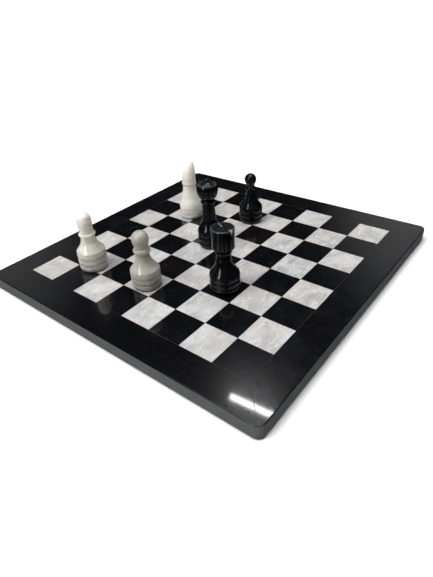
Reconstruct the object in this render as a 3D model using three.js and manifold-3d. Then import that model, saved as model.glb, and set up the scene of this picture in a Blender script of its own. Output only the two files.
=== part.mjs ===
// Stone chess board with six turned stone chessmen standing on it.
// Millimetres, +Z up. The origin is the middle of the board, at the surface that the feet stand on.
// +X runs from file a to file h, and +Y runs from rank 1 to rank 8.

import * as THREE from 'three';
import { mergeVertices } from 'three/addons/utils/BufferGeometryUtils.js';
import Module from 'manifold-3d';

const wasm = await Module();
wasm.setup();

// ---- Driving dimensions -------------------------------------------------------------------------

const SQUARES = 8; // squares along each side of the playing field
const SQUARE = 31.25; // pitch of the squares
const JOINT = 0.3; // open joint between stones that lie side by side
const GLUE_LINE = 0.1; // gap between glued faces
const REST_GAP = 0.05; // gap under a chessman that stands on the board

const TILE_THICKNESS = 6;
const BEDDING_THICKNESS = 0.8; // adhesive bed that carries the dark tiles
const SLAB_THICKNESS = 5; // backing slab inside the border
const BORDER_WIDTH = 27.5;
const CORNER_RADIUS = 6.5; // outer corners of the board
const CORNER_STEPS = 6; // straight steps in one strip's share of a corner

const FOOT_RADIUS = 5;
const FOOT_HEIGHT = 1.9;
const FOOT_INSET = 12; // from the edge of the playing field to a foot's middle
const FOOT_SEGMENTS = 24;

const FELT_THICKNESS = 0.8;
const FELT_INSET = 1.2; // from a chessman's foot edge to its felt's edge
const TURNED_SEGMENTS = 24; // flats around a turned piece
const CURVE_STEPS = 3; // straight steps in one curve of a turned outline

// Handles of the curves in a turned outline, as shares of the stretch that they belong to.
const SWELL_HANDLE = 1 / 6; // from either end of a swell
const FLANK_LOW = { drop: 0.88, rise: 0.1 }; // near the bell's foot
const FLANK_HIGH = { drop: 0, rise: 0.45 }; // near the neck
const ROUND_HANDLE = 0.55; // of a quarter circle
const BOWL_HANDLE = 0.3;
const RIM_HANDLE = 0.55; // how high the crown keeps its width above its widest place
const DOME_HANDLE = { radius: 0.85, rise: 0.9 };
const MITRE_LOW = { radius: 1, rise: 0.45 };
const MITRE_HIGH = { radius: 0.49, rise: 0.99 };

const OVERLAP = 0.4; // how far joined solids run into each other before they are joined
const CUT_REACH = 40; // a cutting block is larger than any chessman

// ---- Levels and places worked out from them ------------------------------------------------------

const FIELD_HALF = (SQUARES * SQUARE) / 2;
const BOARD_HALF = FIELD_HALF + BORDER_WIDTH;
const FRAME_INNER_HALF = FIELD_HALF + JOINT / 2;
const TILE_SIDE = SQUARE - JOINT;

const BOARD_BOTTOM = FOOT_HEIGHT + GLUE_LINE;
const SLAB_TOP = BOARD_BOTTOM + SLAB_THICKNESS;
const BEDDING_BOTTOM = SLAB_TOP + GLUE_LINE;
const BEDDING_TOP = BEDDING_BOTTOM + BEDDING_THICKNESS;
const TILE_BOTTOM = BEDDING_TOP + GLUE_LINE;
const BOARD_TOP = TILE_BOTTOM + TILE_THICKNESS;

// ---- Chessmen ------------------------------------------------------------------------------------
// Each body is stacked from its underside: foot bevel, grooved bands, bell, neck, collar and head.
// `square` is the file (1 is file a) and the rank, and `offset` is how far off its middle the piece stands.

const WHITE_PAWN_1 = {
  square: [2, 7], offset: [-9.2, 0.5],
  footRadius: 12.4, footBevel: 1.2,
  bandRadius: 12.8, bandHeight: 5.3, bandCrown: 0.4, bandCount: 3, grooveHeight: 0.8, grooveDepth: 0.5,
  bellRadius: 13.0,
  stemHeight: 12.6, stemRadius: 6.6, stemFullness: 0.05,
  neckHeight: 1.9, neckRadius: 6.2,
  collarRadius: 7.7, collarHeight: 3, seatRadius: 6.3,
  headRadius: 6.6, headDrop: 12.4, headRise: 6.8, headTaper: 0.1,
};

const WHITE_PAWN_2 = {
  square: [2, 5], offset: [-2.7, -1.6],
  footRadius: 12.4, footBevel: 1.2,
  bandRadius: 12.8, bandHeight: 4.75, bandCrown: 0.4, bandCount: 3, grooveHeight: 0.8, grooveDepth: 0.5,
  bellRadius: 12.9,
  stemHeight: 13.05, stemRadius: 6.0, stemFullness: 0.05,
  neckHeight: 2.2, neckRadius: 5.9,
  collarRadius: 7.5, collarHeight: 4.8, seatRadius: 5.9,
  headRadius: 7.3, headDrop: 8.6, headRise: 6.8, headTaper: 0.35,
};

const BLACK_PAWN = {
  square: [7, 5], offset: [-6.3, -7.7],
  footRadius: 11.4, footBevel: 1.4,
  bandRadius: 12.0, bandHeight: 4.7, bandCrown: 0.4, bandCount: 3, grooveHeight: 0.8, grooveDepth: 0.5,
  bellRadius: 12.0,
  stemHeight: 15.5, stemRadius: 4.6, stemFullness: 0.03,
  neckHeight: 2.6, neckRadius: 4.3,
  collarRadius: 5.2, collarHeight: 3.6, seatRadius: 4,
  headRadius: 6, headDrop: 7.6, headRise: 5.8, headTaper: 0.45,
};

const BLACK_ROOK = {
  square: [3, 3], offset: [-0.4, -0.3],
  footRadius: 11.2, footBevel: 2,
  bandRadius: 12.8, bandHeight: 4.65, bandCrown: 0.4, bandCount: 3, grooveHeight: 0.8, grooveDepth: 0.5,
  bellRadius: 12.7,
  stemHeight: 14.05, stemRadius: 6.4, stemFullness: 0.05,
  neckHeight: 3.4, neckRadius: 5.9,
  collarRadius: 6.9, collarHeight: 4, seatRadius: 6.6,
  turretChamfer: 2, turretRadius: 9.4, turretHeight: 17.2, rimRadius: 9.8, rimBevel: 0.6,
  kerfWidth: 1.8, kerfDepth: 2.4, kerfTurn: 62,
};

const BLACK_QUEEN = {
  square: [5, 5], offset: [-10, -4.7],
  footRadius: 11, footBevel: 1.6,
  bandRadius: 11.6, bandHeight: 5.2, bandCrown: 0.4, bandCount: 3, grooveHeight: 0.8, grooveDepth: 0.5,
  bellRadius: 11.5,
  stemHeight: 12.8, stemRadius: 6.7, stemFullness: 0.05,
  neckHeight: 13.3, neckRadius: 5.7,
  collarRadius: 7, collarHeight: 4, seatRadius: 5.3,
  bowlRadius: 10.1, bowlHeight: 10.4, rimRadius: 8.6, rimHeight: 4.8,
  domeRadius: 7.4, domeHeight: 2.2, knobRadius: 2.2, knobHeight: 2.8,
  notchCount: 8, notchWidth: 1.6, notchDepth: 1.2,
};

const WHITE_BISHOP = {
  square: [6, 7], offset: [-0.5, -7.4],
  footRadius: 11.7, footBevel: 1.4,
  bandRadius: 12.1, bandHeight: 4.3, bandCrown: 0.3, bandCount: 3, grooveHeight: 0.8, grooveDepth: 0.5,
  bellRadius: 12.2,
  stemHeight: 18.5, stemRadius: 7, stemFullness: 0.25,
  neckHeight: 2.6, neckRadius: 6.8,
  collarRadius: 7.8, collarHeight: 3.6, seatRadius: 6.8,
  mitreRadius: 7.4, mitreHeight: 21.8, mitreFlare: 0.8, mitreLean: 3.6, leanTurn: -45,
};

// ---- Materials -----------------------------------------------------------------------------------

function stone(colour, roughness) {
  return new THREE.MeshStandardMaterial({ color: colour, roughness, metalness: 0 });
}

const darkTileStone = () => stone(0x16171b, 0.12);
const lightTileStone = () => stone(0xbfbfc0, 0.25);
const borderStone = () => stone(0x131418, 0.12);
const backingStone = () => stone(0x77787a, 0.85);
const whiteOnyx = () => stone(0xc9c3b6, 0.2);
const blackOnyx = () => stone(0x15161a, 0.15);
const feltCloth = () => stone(0x1f3d2c, 1);
const footRubber = () => stone(0x202020, 0.8);

// ---- Solids --------------------------------------------------------------------------------------

// A closed geometry as a manifold solid, with shared corners merged and flat slivers left out.
function toSolid(geometry) {
  const bare = geometry.clone();
  bare.deleteAttribute('normal');
  bare.deleteAttribute('uv');
  const merged = mergeVertices(bare);
  const corners = merged.index.array;
  const kept = [];
  for (let i = 0; i < corners.length; i += 3) {
    const [a, b, c] = corners.slice(i, i + 3);
    if (a !== b && b !== c && c !== a) kept.push(a, b, c);
  }
  return new wasm.Manifold(new wasm.Mesh({
    numProp: 3,
    vertProperties: merged.attributes.position.array,
    triVerts: new Uint32Array(kept),
  }));
}

function toGeometry(solid) {
  const mesh = solid.getMesh();
  const geometry = new THREE.BufferGeometry();
  geometry.setAttribute('position', new THREE.BufferAttribute(mesh.vertProperties, 3));
  geometry.setIndex(new THREE.BufferAttribute(mesh.triVerts, 1));
  geometry.computeVertexNormals();
  return geometry;
}

// A box given by its size and by the middle of its lower face.
function block(width, depth, height, x, y, bottom) {
  return new THREE.BoxGeometry(width, depth, height).translate(x, y, bottom + height / 2);
}

// An outline of [radius, height] points turned about Z.
function turned(outline) {
  return new THREE.LatheGeometry(outline, TURNED_SEGMENTS).rotateX(Math.PI / 2);
}

function disc(radius, height, bottom, segments) {
  const cylinder = new THREE.CylinderGeometry(radius, radius, height, segments);
  return cylinder.rotateX(Math.PI / 2).translate(0, 0, bottom + height / 2);
}

function named(name, geometry, material) {
  const mesh = new THREE.Mesh(geometry, material);
  mesh.name = name;
  return mesh;
}

// ---- Board ---------------------------------------------------------------------------------------

// Middle of a square: files and ranks count from 1.
function squareCentre(file, rank) {
  const place = (n) => (n - (SQUARES + 1) / 2) * SQUARE;
  return [place(file), place(rank)];
}

function squareName(file, rank) {
  return String.fromCharCode('a'.charCodeAt(0) + file - 1) + rank;
}

function eachSquare(isLight, visit) {
  for (let file = 1; file <= SQUARES; file += 1) {
    for (let rank = 1; rank <= SQUARES; rank += 1) {
      if (((file + rank) % 2 === 1) === isLight) visit(file, rank);
    }
  }
}

function backingSlab() {
  const side = 2 * FIELD_HALF - JOINT;
  const geometry = block(side, side, SLAB_THICKNESS, 0, 0, BOARD_BOTTOM);
  return named('backing_slab', geometry, backingStone());
}

// The dark tiles stand on one thin adhesive bed, which joins them under the light ones.
function darkTileGrid() {
  const side = 2 * FIELD_HALF - JOINT;
  let solid = toSolid(block(side, side, BEDDING_THICKNESS, 0, 0, BEDDING_BOTTOM));
  const bottom = BEDDING_TOP - OVERLAP;
  eachSquare(false, (file, rank) => {
    const [x, y] = squareCentre(file, rank);
    solid = solid.add(toSolid(block(TILE_SIDE, TILE_SIDE, BOARD_TOP - bottom, x, y, bottom)));
  });
  return named('dark_tile_grid', toGeometry(solid), darkTileStone());
}

function lightTiles() {
  const tiles = [];
  eachSquare(true, (file, rank) => {
    const [x, y] = squareCentre(file, rank);
    const geometry = block(TILE_SIDE, TILE_SIDE, TILE_THICKNESS, x, y, TILE_BOTTOM);
    tiles.push(named(`light_tile_${squareName(file, rank)}`, geometry, lightTileStone()));
  });
  return tiles;
}

// A border strip with mitred ends and its share of the two rounded corners, drawn on the +Y side.
function borderStrip(name, quarterTurns) {
  const mitreShift = JOINT * Math.SQRT1_2;
  const innerEnd = FRAME_INNER_HALF - mitreShift;
  const arcMiddle = BOARD_HALF - CORNER_RADIUS;
  const arcSweep = Math.acos(JOINT / (2 * CORNER_RADIUS)) - Math.PI / 4;
  const up = Math.PI / 2;
  const outline = new THREE.Shape();
  outline.moveTo(-innerEnd, FRAME_INNER_HALF);
  outline.lineTo(innerEnd, FRAME_INNER_HALF);
  outline.absarc(arcMiddle, arcMiddle, CORNER_RADIUS, up - arcSweep, up, false);
  outline.absarc(-arcMiddle, arcMiddle, CORNER_RADIUS, up, up + arcSweep, false);
  outline.closePath();
  const depth = BOARD_TOP - BOARD_BOTTOM;
  const geometry = new THREE.ExtrudeGeometry(outline, {
    depth, bevelEnabled: false, curveSegments: CORNER_STEPS,
  });
  const strip = named(name, geometry, borderStone());
  strip.position.z = BOARD_BOTTOM;
  strip.rotation.z = quarterTurns * (Math.PI / 2);
  return strip;
}

function foot(name, xSide, ySide) {
  const reach = FIELD_HALF - FOOT_INSET;
  const mesh = named(name, disc(FOOT_RADIUS, FOOT_HEIGHT, 0, FOOT_SEGMENTS), footRubber());
  mesh.position.set(xSide * reach, ySide * reach, 0);
  return mesh;
}

// ---- Turned outlines -----------------------------------------------------------------------------

// A drawing pen that keeps the height reached so far, so that every stretch starts where the last one ends.
function startOutline(footRadius) {
  const path = new THREE.Path();
  path.moveTo(0, 0);
  path.lineTo(footRadius, 0);
  return { path, height: 0, radius: footRadius };
}

function straight(pen, radius, rise) {
  pen.height += rise;
  pen.radius = radius;
  pen.path.lineTo(pen.radius, pen.height);
}

// A stretch that swells out to `radius` halfway up and comes back in to `endRadius`.
function swell(pen, radius, endRadius, rise) {
  const { path, height } = pen;
  const top = height + rise;
  const handle = rise * SWELL_HANDLE;
  path.quadraticCurveTo(radius, height + handle, radius, height + rise / 2);
  path.quadraticCurveTo(radius, top - handle, endRadius, top);
  pen.height = top;
  pen.radius = endRadius;
}

// The bell's flank, full near its foot and hollow near the neck. `fullness` is the share of the
// narrowing that is left near its upper end.
function flank(pen, radius, rise, fullness) {
  const drop = pen.radius - radius;
  pen.path.bezierCurveTo(
    radius + drop * FLANK_LOW.drop, pen.height + rise * FLANK_LOW.rise,
    radius + drop * (FLANK_HIGH.drop + fullness), pen.height + rise * FLANK_HIGH.rise,
    radius, pen.height + rise,
  );
  pen.height += rise;
  pen.radius = radius;
}

function groove(pen, depth, rise, endRadius) {
  straight(pen, Math.min(pen.radius, endRadius) - depth, rise / 2);
  straight(pen, endRadius, rise / 2);
}

// Foot, bands, bell, neck and collar, which every chessman has.
function lowerBody(size) {
  const pen = startOutline(size.footRadius);
  straight(pen, size.bandRadius, size.footBevel);
  for (let band = 1; band <= size.bandCount; band += 1) {
    const rise = band === 1 ? size.bandHeight - size.footBevel : size.bandHeight;
    const next = band === size.bandCount ? size.bellRadius : size.bandRadius;
    swell(pen, size.bandRadius + size.bandCrown, size.bandRadius, rise);
    groove(pen, size.grooveDepth, size.grooveHeight, next);
  }
  flank(pen, size.stemRadius, size.stemHeight, size.stemFullness);
  straight(pen, size.neckRadius, size.neckHeight);
  swell(pen, size.collarRadius, size.seatRadius, size.collarHeight);
  return pen;
}

function finishOutline(pen) {
  return pen.path.getPoints(CURVE_STEPS);
}

// ---- Heads ---------------------------------------------------------------------------------------

// `headTaper` says how much of the way up the head keeps the width of its seat.
function pawnSolid(size) {
  const pen = lowerBody(size);
  const base = pen.height;
  const middle = base + size.headDrop;
  const top = middle + size.headRise;
  pen.path.bezierCurveTo(
    size.seatRadius, base + size.headDrop * size.headTaper,
    size.headRadius, middle - size.headDrop * ROUND_HANDLE,
    size.headRadius, middle,
  );
  pen.path.bezierCurveTo(
    size.headRadius, middle + size.headRise * ROUND_HANDLE,
    size.headRadius * ROUND_HANDLE, top,
    0, top,
  );
  return turned(finishOutline(pen));
}

// A turret with two saw cuts that cross on its flat top.
function rookSolid(size) {
  const pen = lowerBody(size);
  straight(pen, size.turretRadius, size.turretChamfer);
  straight(pen, size.rimRadius, size.turretHeight);
  straight(pen, size.rimRadius - size.rimBevel, size.rimBevel);
  pen.path.lineTo(0, pen.height);
  let solid = toSolid(turned(finishOutline(pen)));
  const bottom = pen.height - size.kerfDepth;
  for (const turn of [0, 90]) {
    const kerf = block(CUT_REACH, size.kerfWidth, CUT_REACH, 0, 0, bottom);
    kerf.rotateZ(THREE.MathUtils.degToRad(size.kerfTurn + turn));
    solid = solid.subtract(toSolid(kerf));
  }
  return toGeometry(solid);
}

// A bowl-shaped crown that closes in to a notched rim, with a low dome inside it and a knob on top.
function queenSolid(size) {
  const pen = lowerBody(size);
  const bowlBase = pen.height;
  const widest = bowlBase + size.bowlHeight;
  pen.path.quadraticCurveTo(
    size.bowlRadius, bowlBase + size.bowlHeight * BOWL_HANDLE,
    size.bowlRadius, widest,
  );
  pen.path.quadraticCurveTo(
    size.bowlRadius, widest + size.rimHeight * RIM_HANDLE,
    size.rimRadius, widest + size.rimHeight,
  );
  pen.height = widest + size.rimHeight;
  pen.radius = size.rimRadius;
  const rimTop = pen.height;
  straight(pen, size.domeRadius, 0);
  pen.path.quadraticCurveTo(
    size.domeRadius * DOME_HANDLE.radius, rimTop + size.domeHeight * DOME_HANDLE.rise,
    size.knobRadius, rimTop + size.domeHeight,
  );
  pen.height += size.domeHeight;
  pen.path.quadraticCurveTo(
    size.knobRadius, pen.height + size.knobHeight,
    0, pen.height + size.knobHeight,
  );
  let solid = toSolid(turned(finishOutline(pen)));
  const bottom = rimTop - size.notchDepth;
  const reach = size.rimRadius - size.domeRadius + OVERLAP;
  for (let n = 0; n < size.notchCount; n += 1) {
    const notch = block(2 * reach, size.notchWidth, CUT_REACH, size.rimRadius, 0, bottom);
    notch.rotateZ((n * 2 * Math.PI) / size.notchCount);
    solid = solid.subtract(toSolid(notch));
  }
  return toGeometry(solid);
}

// A blunt mitre whose apex leans to one side, so that one flank is nearly upright and the other slopes.
function bishopSolid(size) {
  const pen = lowerBody(size);
  const base = pen.height;
  const top = size.mitreHeight;
  straight(pen, size.mitreRadius, size.mitreFlare);
  pen.path.bezierCurveTo(
    size.mitreRadius * MITRE_LOW.radius, base + top * MITRE_LOW.rise,
    size.mitreRadius * MITRE_HIGH.radius, base + top * MITRE_HIGH.rise,
    0, base + top,
  );
  const geometry = turned(finishOutline(pen));
  const turn = THREE.MathUtils.degToRad(size.leanTurn);
  const point = geometry.attributes.position;
  for (let n = 0; n < point.count; n += 1) {
    if (point.getZ(n) < base + size.mitreFlare) continue;
    const inward = size.mitreRadius - Math.hypot(point.getX(n), point.getY(n));
    const shift = size.mitreLean * Math.tanh(inward / size.mitreLean);
    point.setX(n, point.getX(n) + shift * Math.cos(turn));
    point.setY(n, point.getY(n) + shift * Math.sin(turn));
  }
  return geometry;
}

// A chessman with the felt glued under it, standing on its square.
function chessman(name, size, geometry, material) {
  const group = new THREE.Group();
  const feltRadius = size.footRadius - FELT_INSET;
  const stoneBottom = FELT_THICKNESS + GLUE_LINE;
  const [x, y] = squareCentre(...size.square);
  const felt = disc(feltRadius, FELT_THICKNESS, 0, TURNED_SEGMENTS);
  group.add(named(`${name}_felt`, felt, feltCloth()));
  const body = named(name, geometry, material);
  body.position.z = stoneBottom;
  group.add(body);
  group.position.set(x + size.offset[0], y + size.offset[1], BOARD_TOP + REST_GAP);
  return group;
}

// ---- Assembly ------------------------------------------------------------------------------------

function board() {
  const group = new THREE.Group();
  group.add(backingSlab(), darkTileGrid(), ...lightTiles());
  const sides = ['border_rank_8', 'border_file_a', 'border_rank_1', 'border_file_h'];
  sides.forEach((name, quarterTurns) => group.add(borderStrip(name, quarterTurns)));
  for (const [corner, xSide, ySide] of [['a1', -1, -1], ['h1', 1, -1], ['h8', 1, 1], ['a8', -1, 1]]) {
    group.add(foot(`foot_${corner}`, xSide, ySide));
  }
  return group;
}

const chessSet = new THREE.Group();
chessSet.add(
  board(),
  chessman('white_pawn_1', WHITE_PAWN_1, pawnSolid(WHITE_PAWN_1), whiteOnyx()),
  chessman('white_pawn_2', WHITE_PAWN_2, pawnSolid(WHITE_PAWN_2), whiteOnyx()),
  chessman('white_bishop', WHITE_BISHOP, bishopSolid(WHITE_BISHOP), whiteOnyx()),
  chessman('black_pawn', BLACK_PAWN, pawnSolid(BLACK_PAWN), blackOnyx()),
  chessman('black_rook', BLACK_ROOK, rookSolid(BLACK_ROOK), blackOnyx()),
  chessman('black_queen', BLACK_QUEEN, queenSolid(BLACK_QUEEN), blackOnyx()),
);

export default chessSet;
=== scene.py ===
"""Looks of a stone chess set: an inlaid board and six turned chessmen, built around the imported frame."""

import math
import random
from functools import partial

import bmesh
import bpy
from bpy.props import FloatProperty, FloatVectorProperty, IntProperty, PointerProperty
from mathutils import Matrix, Quaternion, Vector, noise
from mathutils.geometry import interpolate_bezier


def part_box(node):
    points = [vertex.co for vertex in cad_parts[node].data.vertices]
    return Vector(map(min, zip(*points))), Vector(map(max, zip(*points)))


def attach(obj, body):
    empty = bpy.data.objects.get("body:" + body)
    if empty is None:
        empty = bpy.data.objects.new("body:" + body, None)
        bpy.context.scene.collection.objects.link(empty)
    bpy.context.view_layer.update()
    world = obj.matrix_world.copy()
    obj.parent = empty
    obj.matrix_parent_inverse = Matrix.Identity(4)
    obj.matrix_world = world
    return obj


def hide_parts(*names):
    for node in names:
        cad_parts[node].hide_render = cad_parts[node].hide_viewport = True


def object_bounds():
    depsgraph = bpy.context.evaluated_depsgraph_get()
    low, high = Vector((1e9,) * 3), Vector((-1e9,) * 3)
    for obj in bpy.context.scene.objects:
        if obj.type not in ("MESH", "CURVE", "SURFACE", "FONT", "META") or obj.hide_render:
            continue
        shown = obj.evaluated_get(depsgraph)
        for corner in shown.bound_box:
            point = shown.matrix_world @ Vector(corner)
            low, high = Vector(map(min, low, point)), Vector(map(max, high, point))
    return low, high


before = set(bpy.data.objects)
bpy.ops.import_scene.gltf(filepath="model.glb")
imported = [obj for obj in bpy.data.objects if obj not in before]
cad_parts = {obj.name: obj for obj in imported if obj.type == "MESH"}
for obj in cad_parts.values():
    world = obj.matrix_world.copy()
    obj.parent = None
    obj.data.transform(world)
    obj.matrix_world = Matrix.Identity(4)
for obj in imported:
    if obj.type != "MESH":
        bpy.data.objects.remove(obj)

bl_info = {
    "name": "Stone Chess Set",
    "version": (1, 0, 0),
    "blender": (4, 5, 0),
    "location": "3D View > Sidebar > Chess Set",
    "description": "Builds an inlaid stone chess board and its turned chessmen around their frame",
    "category": "Add Mesh",
}

# ---- Places and sizes read from the frame ---------------------------------------------------------

CAD_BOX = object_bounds()
MM = 0.001  # chessmen and wear are drawn in millimetres and scaled down at the end

SQUARES = 8
LIGHT_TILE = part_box("light_tile_a2")
TILE_SIZE = LIGHT_TILE[1] - LIGHT_TILE[0]
SQUARE = (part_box("light_tile_a4")[0].y - LIGHT_TILE[0].y) / 2
BOARD_TOP = LIGHT_TILE[1].z
BOARD_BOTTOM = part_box("border_rank_8")[0].z
BOARD_HALF = CAD_BOX[1].x
FIELD_HALF = SQUARES * SQUARE / 2
FRAME_INNER_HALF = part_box("border_rank_1")[1].y * -1
JOINT = SQUARE - TILE_SIZE.x
CORNER_RADIUS = 6.5 * MM

FILES = "abcdefgh"


def square_middle(file, rank):
    """Middle of a square on the board's top. File a and rank 1 are both 1."""
    centre = (SQUARES + 1) / 2
    return Vector(((file - centre) * SQUARE, (rank - centre) * SQUARE, BOARD_TOP))


def squares(light):
    """File, rank and name of every light square, or of every dark one."""
    for file in range(1, SQUARES + 1):
        for rank in range(1, SQUARES + 1):
            if ((file + rank) % 2 == 1) == light:
                yield file, rank, f"{FILES[file - 1]}{rank}"


# ---- Chessmen: sizes in millimetres, from the foot upwards ----------------------------------------

PAWN_1 = dict(
    foot_radius=12.4, foot_bevel=1.2, band_radius=12.8, band_height=5.3, bell_radius=13.0,
    stem_height=12.6, stem_radius=6.6, stem_fullness=0.05, neck_height=1.9, neck_radius=6.2,
    collar_radius=7.7, collar_height=3.0, seat_radius=6.3,
    head_radius=6.6, head_drop=12.4, head_rise=6.8, head_taper=0.1,
)
PAWN_2 = dict(
    foot_radius=12.4, foot_bevel=1.2, band_radius=12.8, band_height=4.75, bell_radius=12.9,
    stem_height=13.05, stem_radius=6.0, stem_fullness=0.05, neck_height=2.2, neck_radius=5.9,
    collar_radius=7.5, collar_height=4.8, seat_radius=5.9,
    head_radius=7.3, head_drop=8.6, head_rise=6.8, head_taper=0.35,
)
BLACK_PAWN = dict(
    foot_radius=11.4, foot_bevel=1.4, band_radius=12.0, band_height=4.7, bell_radius=12.0,
    stem_height=15.5, stem_radius=4.6, stem_fullness=0.03, neck_height=2.6, neck_radius=4.3,
    collar_radius=5.2, collar_height=3.6, seat_radius=4.0,
    head_radius=6.0, head_drop=7.6, head_rise=5.8, head_taper=0.45,
)
ROOK = dict(
    foot_radius=11.2, foot_bevel=2.0, band_radius=12.8, band_height=4.65, bell_radius=12.7,
    stem_height=14.05, stem_radius=6.4, stem_fullness=0.05, neck_height=3.4, neck_radius=5.9,
    collar_radius=6.9, collar_height=4.0, seat_radius=6.6,
    turret_chamfer=2.0, turret_radius=9.4, turret_height=17.2, rim_radius=9.8, rim_bevel=0.6,
    kerf_width=0.8, kerf_depth=1.8, kerf_turn=62, notch_turn=264,
)
QUEEN = dict(
    foot_radius=11.0, foot_bevel=1.6, band_radius=11.6, band_height=5.2, bell_radius=11.5,
    stem_height=12.8, stem_radius=6.7, stem_fullness=0.05, neck_height=13.3, neck_radius=5.7,
    collar_radius=7.0, collar_height=4.0, seat_radius=5.3,
    bowl_radius=10.1, bowl_height=10.4, rim_radius=8.6, rim_height=4.8,
    dome_radius=7.4, dome_height=2.2, knob_radius=2.2, knob_height=2.8,
    notch_count=8, notch_radius=0.7, notch_depth=0.9,
)
BISHOP = dict(
    foot_radius=11.7, foot_bevel=1.4, band_radius=12.1, band_height=4.3, bell_radius=12.2,
    stem_height=18.5, stem_radius=7.0, stem_fullness=0.25, neck_height=2.6, neck_radius=6.8,
    collar_radius=7.8, collar_height=3.6, seat_radius=6.8,
    mitre_radius=7.4, mitre_height=21.8, mitre_flare=0.8, mitre_lean=3.6, lean_turn=-45,
)

CHESSMEN = (
    "white_pawn_1", "white_pawn_2", "white_bishop", "black_pawn", "black_rook", "black_queen",
)

BAND_COUNT = 3
GROOVE_HEIGHT = 0.8
GROOVE_DEPTH = 0.6
LONGEST_STEP = 0.8  # of a turned outline, so that wear follows the surface closely
CROWN_CHIPS = 7
SPALL_DEPTH = 4.2  # height of the flake that has come off the rook's rim

# ---- Settings that a user would change ------------------------------------------------------------


def length(name, description, default):
    return FloatProperty(name=name, description=description, default=default, unit="LENGTH")


def degrees(name, description, default):
    return FloatProperty(
        name=name, description=description, default=math.radians(default), subtype="ANGLE"
    )


def colour(name, description, default):
    return FloatVectorProperty(
        name=name, description=description, default=default, subtype="COLOR", min=0.0, max=1.0
    )


def place(name, description, default):
    return FloatVectorProperty(
        name=name, description=description, default=default, subtype="TRANSLATION"
    )


class BoardSettings(bpy.types.PropertyGroup):
    """Edges and stone colours of the board."""

    tile_arris: length("Tile arris", "Easing along the top edges of a tile", 0.06 * MM)
    rim_radius: length("Rim radius", "Rounding along the board's top edge", 1.7 * MM)
    rim_wear: length("Rim wear", "Deepest chip in the board's top edge", 0.5 * MM)
    joint_depth: length("Joint depth", "How far the joint filler lies below the top", 0.05 * MM)
    light_stone: colour("Light stone", "Body colour of the light marble", (0.56, 0.56, 0.56))
    light_vein: colour("Light vein", "Grey veins in the light marble", (0.29, 0.295, 0.305))
    # also the colour of the painted shade towards h8
    light_tint_and_shade: colour("Light tint", "Warm clouds in the light marble", (0.44, 0.405, 0.37))
    dark_stone: colour("Dark stone", "Body colour of the polished dark stone", (0.0014, 0.0016, 0.0024))
    dark_cloud: colour("Dark cloud", "Blue-grey clouds in the dark stone", (0.007, 0.008, 0.013))
    dark_fossil: colour("Dark fossil", "Pale specks in the dark stone", (0.10, 0.10, 0.105))
    honed_stone: colour("Honed stone", "Sawn sides of the border", (0.100, 0.106, 0.107))
    filler: colour("Joint filler", "Resin between the stones", (0.020, 0.020, 0.023))


class ChessmanSettings(bpy.types.PropertyGroup):
    """Finish of the turned chessmen."""

    segments: IntProperty(name="Segments", description="Steps round a turned piece", default=112)
    arris: FloatProperty(name="Arris", description="Easing of a turned corner, in mm", default=0.2)
    band_crown: FloatProperty(name="Band crown", description="Swell of a band, in mm", default=0.55)
    milky_low: colour("Milky, low", "Lower part of the first white pawn", (0.68, 0.66, 0.59))
    # lighter partly because painted light brightens the first pawn's head, partly the stone's own pinkish
    # tone
    milky_high_partly_lit: colour("Milky, high", "Upper part of the first white pawn", (0.84, 0.805, 0.76))
    olive_low: colour("Olive, low", "Lower part of the second white pawn", (0.47, 0.455, 0.395))
    olive_high: colour("Olive, high", "Upper part of the second white pawn", (0.36, 0.355, 0.32))
    chalky_low: colour("Chalky, low", "Lower part of the white bishop", (0.93, 0.90, 0.83))
    chalky_high: colour("Chalky, high", "Upper part of the white bishop", (0.82, 0.78, 0.73))
    black_stone: colour("Black stone", "Body colour of the black chessmen", (0.0022, 0.0024, 0.0032))
    black_scuff: colour("Black scuff", "Worn edges of the black chessmen", (0.05, 0.052, 0.056))
    # also the colour of the painted highlight along the rook's saw cut and rim
    fresh_stone: colour("Fresh stone", "Whitish stone in chips and saw cuts", (0.62, 0.63, 0.63))
    felt: colour("Felt", "Felt under a chessman", (0.012, 0.035, 0.022))


class StageSettings(bpy.types.PropertyGroup):
    """Floor, lights and camera."""

    camera_place: place("Camera", "Where the camera stands", (-0.29499, -0.24580, 0.23599))
    camera_aim: place("Aim", "What the camera looks at", (-0.05206, -0.04109, 0.01400))
    camera_roll: degrees("Roll", "Turn of the camera about its own line of sight", -3.742)
    lens: FloatProperty(name="Lens", description="Focal length in millimetres", default=28.045)
    floor_size: length("Floor", "Half side of the floor", 60.0)
    floor_colour: colour("Floor colour", "Pale floor", (0.92, 0.92, 0.92))
    key_power: FloatProperty(name="Key power", description="Strength of the key light", default=2.5)
    key_width: degrees("Key width", "How wide the key light looks from the board", 32)
    key_azimuth: degrees("Key azimuth", "Side that the key light comes from", 151)
    key_height: degrees("Key height", "How far the key light stands above the horizon", 56)


# ---- Fixed tones ----------------------------------------------------------------------------------

MARBLE_THREAD = (0.72, 0.72, 0.71)
BROWN_TINGE = (0.010, 0.006, 0.005)
HONED_SHADE = (0.060, 0.067, 0.064)
HONED_SAWN = (0.17, 0.178, 0.18)
HONED_GRIT = (0.06, 0.063, 0.062)
BACKING_DARK = (0.17, 0.172, 0.175)
BACKING_PALE = (0.24, 0.24, 0.238)
BACKING_SAWN = (0.11, 0.112, 0.115)
JOINT_DUST = (0.06, 0.06, 0.06)
ONYX_GROOVE = (0.25, 0.225, 0.17)
BLACK_CLOUD = (0.006, 0.007, 0.011)
FELT_TUFT = (0.030, 0.075, 0.048)
RUBBER_DARK = (0.012, 0.012, 0.012)
RUBBER_PALE = (0.022, 0.022, 0.021)

# ---- Shader building blocks -----------------------------------------------------------------------


def node(tree, kind, inputs=None, **settings):
    """One node. An input given as a socket is linked, and any other value is set on the input."""
    made = tree.nodes.new(kind)
    for name, value in settings.items():
        setattr(made, name, value)
    for name, value in (inputs or {}).items():
        if isinstance(value, bpy.types.NodeSocket):
            tree.links.new(value, made.inputs[name])
        else:
            made.inputs[name].default_value = value
    return made


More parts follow.
